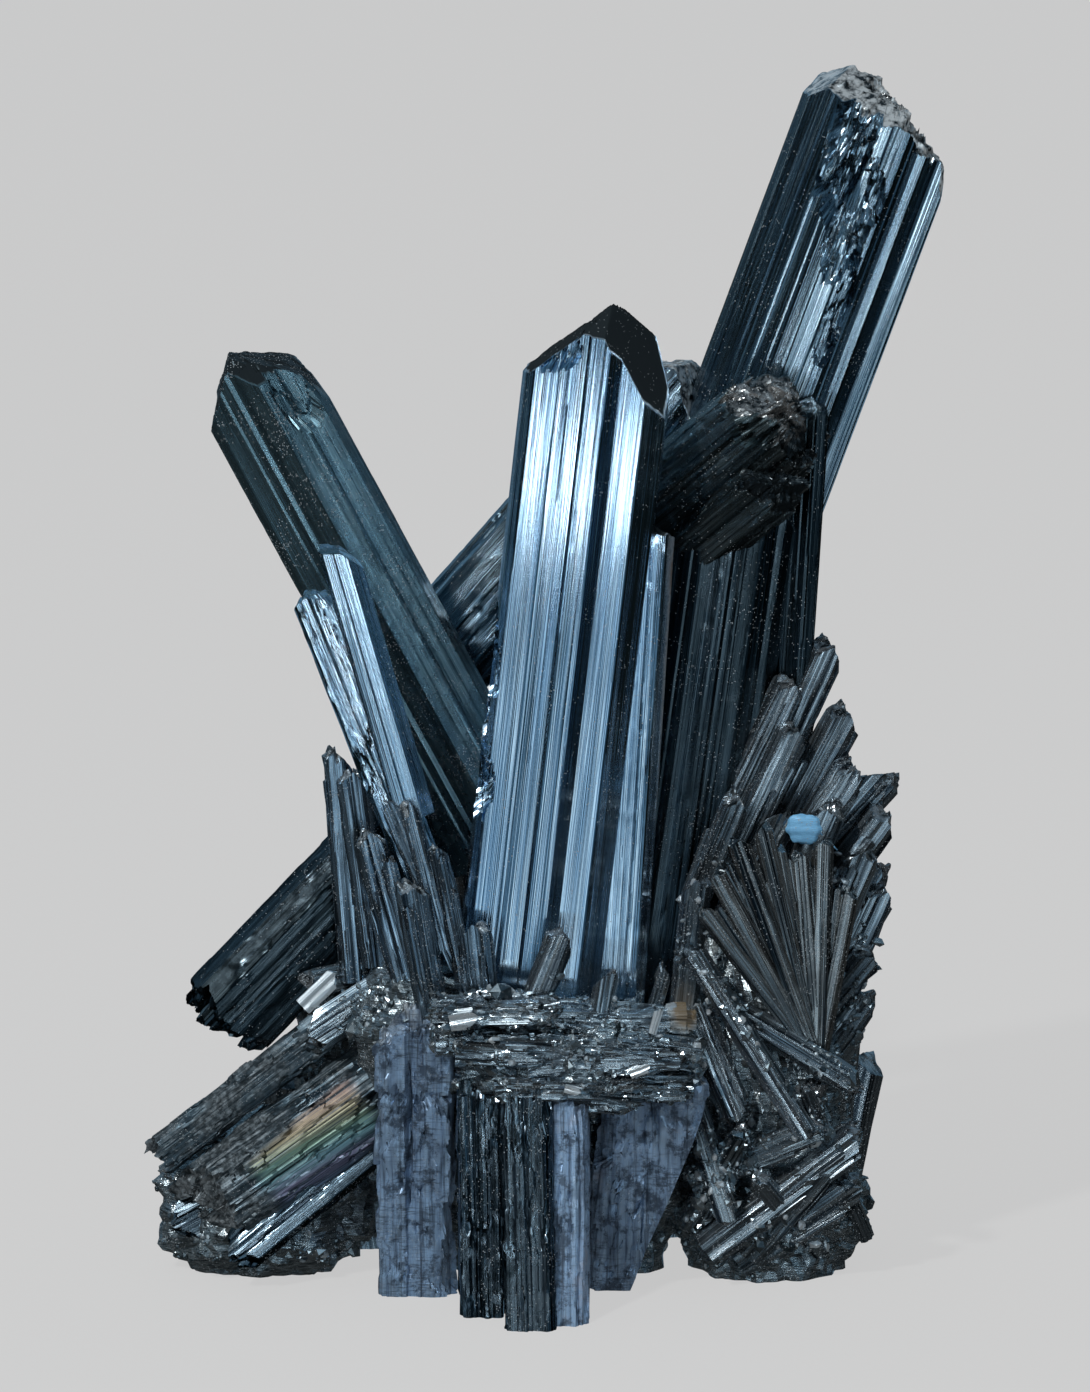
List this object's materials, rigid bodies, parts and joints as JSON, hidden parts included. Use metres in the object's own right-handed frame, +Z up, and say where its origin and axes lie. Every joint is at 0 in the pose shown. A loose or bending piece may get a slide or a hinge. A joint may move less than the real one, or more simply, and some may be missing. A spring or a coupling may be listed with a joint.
{
  "type": "stibnite crystal cluster",
  "caption": "Mineral specimen: tall striated metallic blue-grey prisms fanning up from a rough root of small intergrown crystals, cut flat below.",
  "frame": {"origin": "centre of the specimen's box at the level of the flat cut it rests on", "axes": "+Z up, -Y towards the face shown in the picture, +X to its right"},
  "size_m": [0.1665, 0.1194, 0.2465],
  "materials": {
    "bright_faces": "deep blue-grey metallic faces, finely striated along their length",
    "steel_faces": "dark steel-blue metallic faces, striated, dusted",
    "dark_faces": "near-black teal metallic faces, striated",
    "tarnished_faces": "metallic faces with a thin gold, green and blue tarnish",
    "crust": "rough broken grey-black crust of small crystals"
  },
  "bodies": {
    "root": {"centre_prism": "bright_faces", "left_prism": "steel_faces", "right_tall_prism": "steel_faces", "leaning_prism": "dark_faces", "right_stub_prism": "dark_faces", "back_prism": "dark_faces", "left_small_prisms": "bright_faces", "lower_left_prism": "dark_faces", "iridescent_prism": "tarnished_faces", "front_blades": "steel_faces", "left_plate": "steel_faces", "right_plate": "steel_faces", "needle_fan": "dark_faces", "root_cluster": "crust"}
  },
  "joints": []
}
